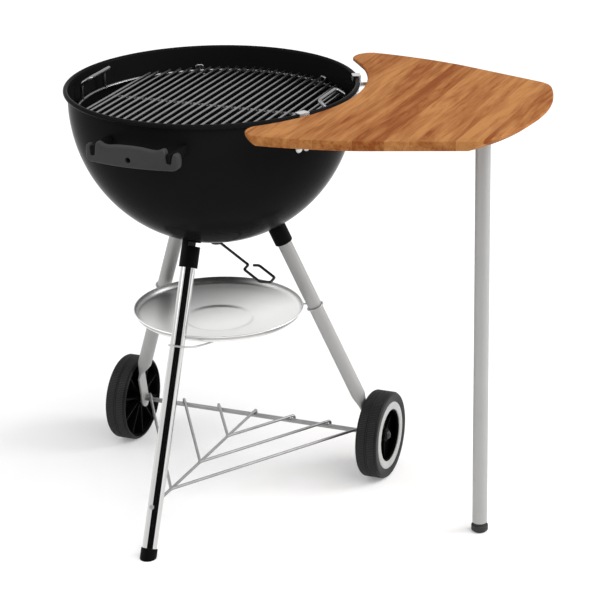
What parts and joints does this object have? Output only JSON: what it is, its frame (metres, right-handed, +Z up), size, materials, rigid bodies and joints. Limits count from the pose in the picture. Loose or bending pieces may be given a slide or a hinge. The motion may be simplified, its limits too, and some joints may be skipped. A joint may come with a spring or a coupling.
{
  "type": "charcoal kettle grill with side table",
  "caption": "Kettle charcoal grill: round black bowl on tube legs with wheels, cooking grate, ash sweep, ash pan, wire rack and a wooden side table on its own leg.",
  "frame": {"origin": "middle of the whole object's bounding box, on the floor", "axes": "+X from the bowl towards the side table, along the axle; +Y from the single front leg towards the wheels; +Z up"},
  "size_m": [0.8124, 0.601, 0.7151],
  "materials": {
    "enamel": "gloss black enamel",
    "black_plastic": "satin black",
    "grip": "matte dark grey nylon",
    "bright_tube": "bright plated",
    "satin_tube": "satin",
    "zinc_wire": "zinc plated",
    "fastener": "pale plated",
    "grate_wire": "plated wire",
    "dark_steel": "dark coated",
    "pan": "satin spun",
    "tyre": "black, ribbed",
    "trim": "pale grey",
    "cap": "plated dome",
    "wood": "oiled"
  },
  "bodies": {
    "kettle": {"bowl": "enamel", "front_leg_socket": "black_plastic", "right_rear_leg_socket": "black_plastic", "left_rear_leg_socket": "black_plastic", "front_leg": "bright_tube", "foot_cap": "black_plastic", "right_rear_leg": "satin_tube", "left_rear_leg": "satin_tube", "axle": "zinc_wire", "axle_washers": "zinc_wire", "right_axle_cap": "cap", "left_axle_cap": "cap", "bottom_rack": "zinc_wire", "rack_screw": "zinc_wire", "front_pan_clip": "zinc_wire", "right_rear_pan_clip": "zinc_wire", "left_rear_pan_clip": "zinc_wire", "front_handle_bracket": "enamel", "front_handle_grip": "grip", "rear_handle_bracket": "enamel", "rear_handle_grip": "grip", "handle_screws": "fastener", "cooking_grate_supports": "grate_wire", "charcoal_grate_tabs": "dark_steel", "table_board": "wood", "front_rim_clip": "fastener", "rear_rim_clip": "fastener", "clip_bolts": "fastener", "board_screws": "fastener", "table_leg_plate": "satin_tube", "table_leg": "satin_tube", "table_leg_glide": "black_plastic"},
    "right_wheel": {"right_tyre": "tyre", "right_wheel_rim": "black_plastic", "right_trim_ring": "trim"},
    "left_wheel": {"left_tyre": "tyre", "left_wheel_rim": "black_plastic", "left_trim_ring": "trim"},
    "ash_sweep": {"sweep_shaft": "dark_steel", "sweep_blades": "dark_steel", "sweep_nut": "dark_steel", "sweep_handle": "dark_steel"},
    "cooking_grate": {"cooking_grate_ring": "grate_wire", "cooking_grate_bars": "grate_wire", "cooking_grate_rod": "grate_wire", "right_grate_handle": "grate_wire", "left_grate_handle": "grate_wire"},
    "charcoal_grate": {"charcoal_grate_bars": "dark_steel", "charcoal_grate_rods": "dark_steel"},
    "ash_pan": {"ash_pan": "pan"}
  },
  "joints": [
    {"name": "right_wheel_spin", "type": "hinge", "parent": "kettle", "child": "right_wheel", "pos_m": [0.08574, 0.14562, 0.075], "axis": [1, 0, 0], "continuous": true},
    {"name": "left_wheel_spin", "type": "hinge", "parent": "kettle", "child": "left_wheel", "pos_m": [-0.38725, 0.14562, 0.075], "axis": [1, 0, 0], "continuous": true},
    {"name": "sweep_turn", "type": "hinge", "parent": "kettle", "child": "ash_sweep", "pos_m": [-0.15076, 0.01255, 0.44], "axis": [0, 0, 1], "range_deg": [-40, 30]},
    {"name": "cooking_grate_lift", "type": "slide", "parent": "kettle", "child": "cooking_grate", "axis": [0, 0, 1], "range_m": [0, 0.15]},
    {"name": "charcoal_grate_lift", "type": "slide", "parent": "kettle", "child": "charcoal_grate", "axis": [0, 0, 1], "range_m": [0, 0.1]},
    {"name": "ash_pan_lift", "type": "slide", "parent": "kettle", "child": "ash_pan", "axis": [0, 0, 1], "range_m": [0, 0.006]}
  ]
}
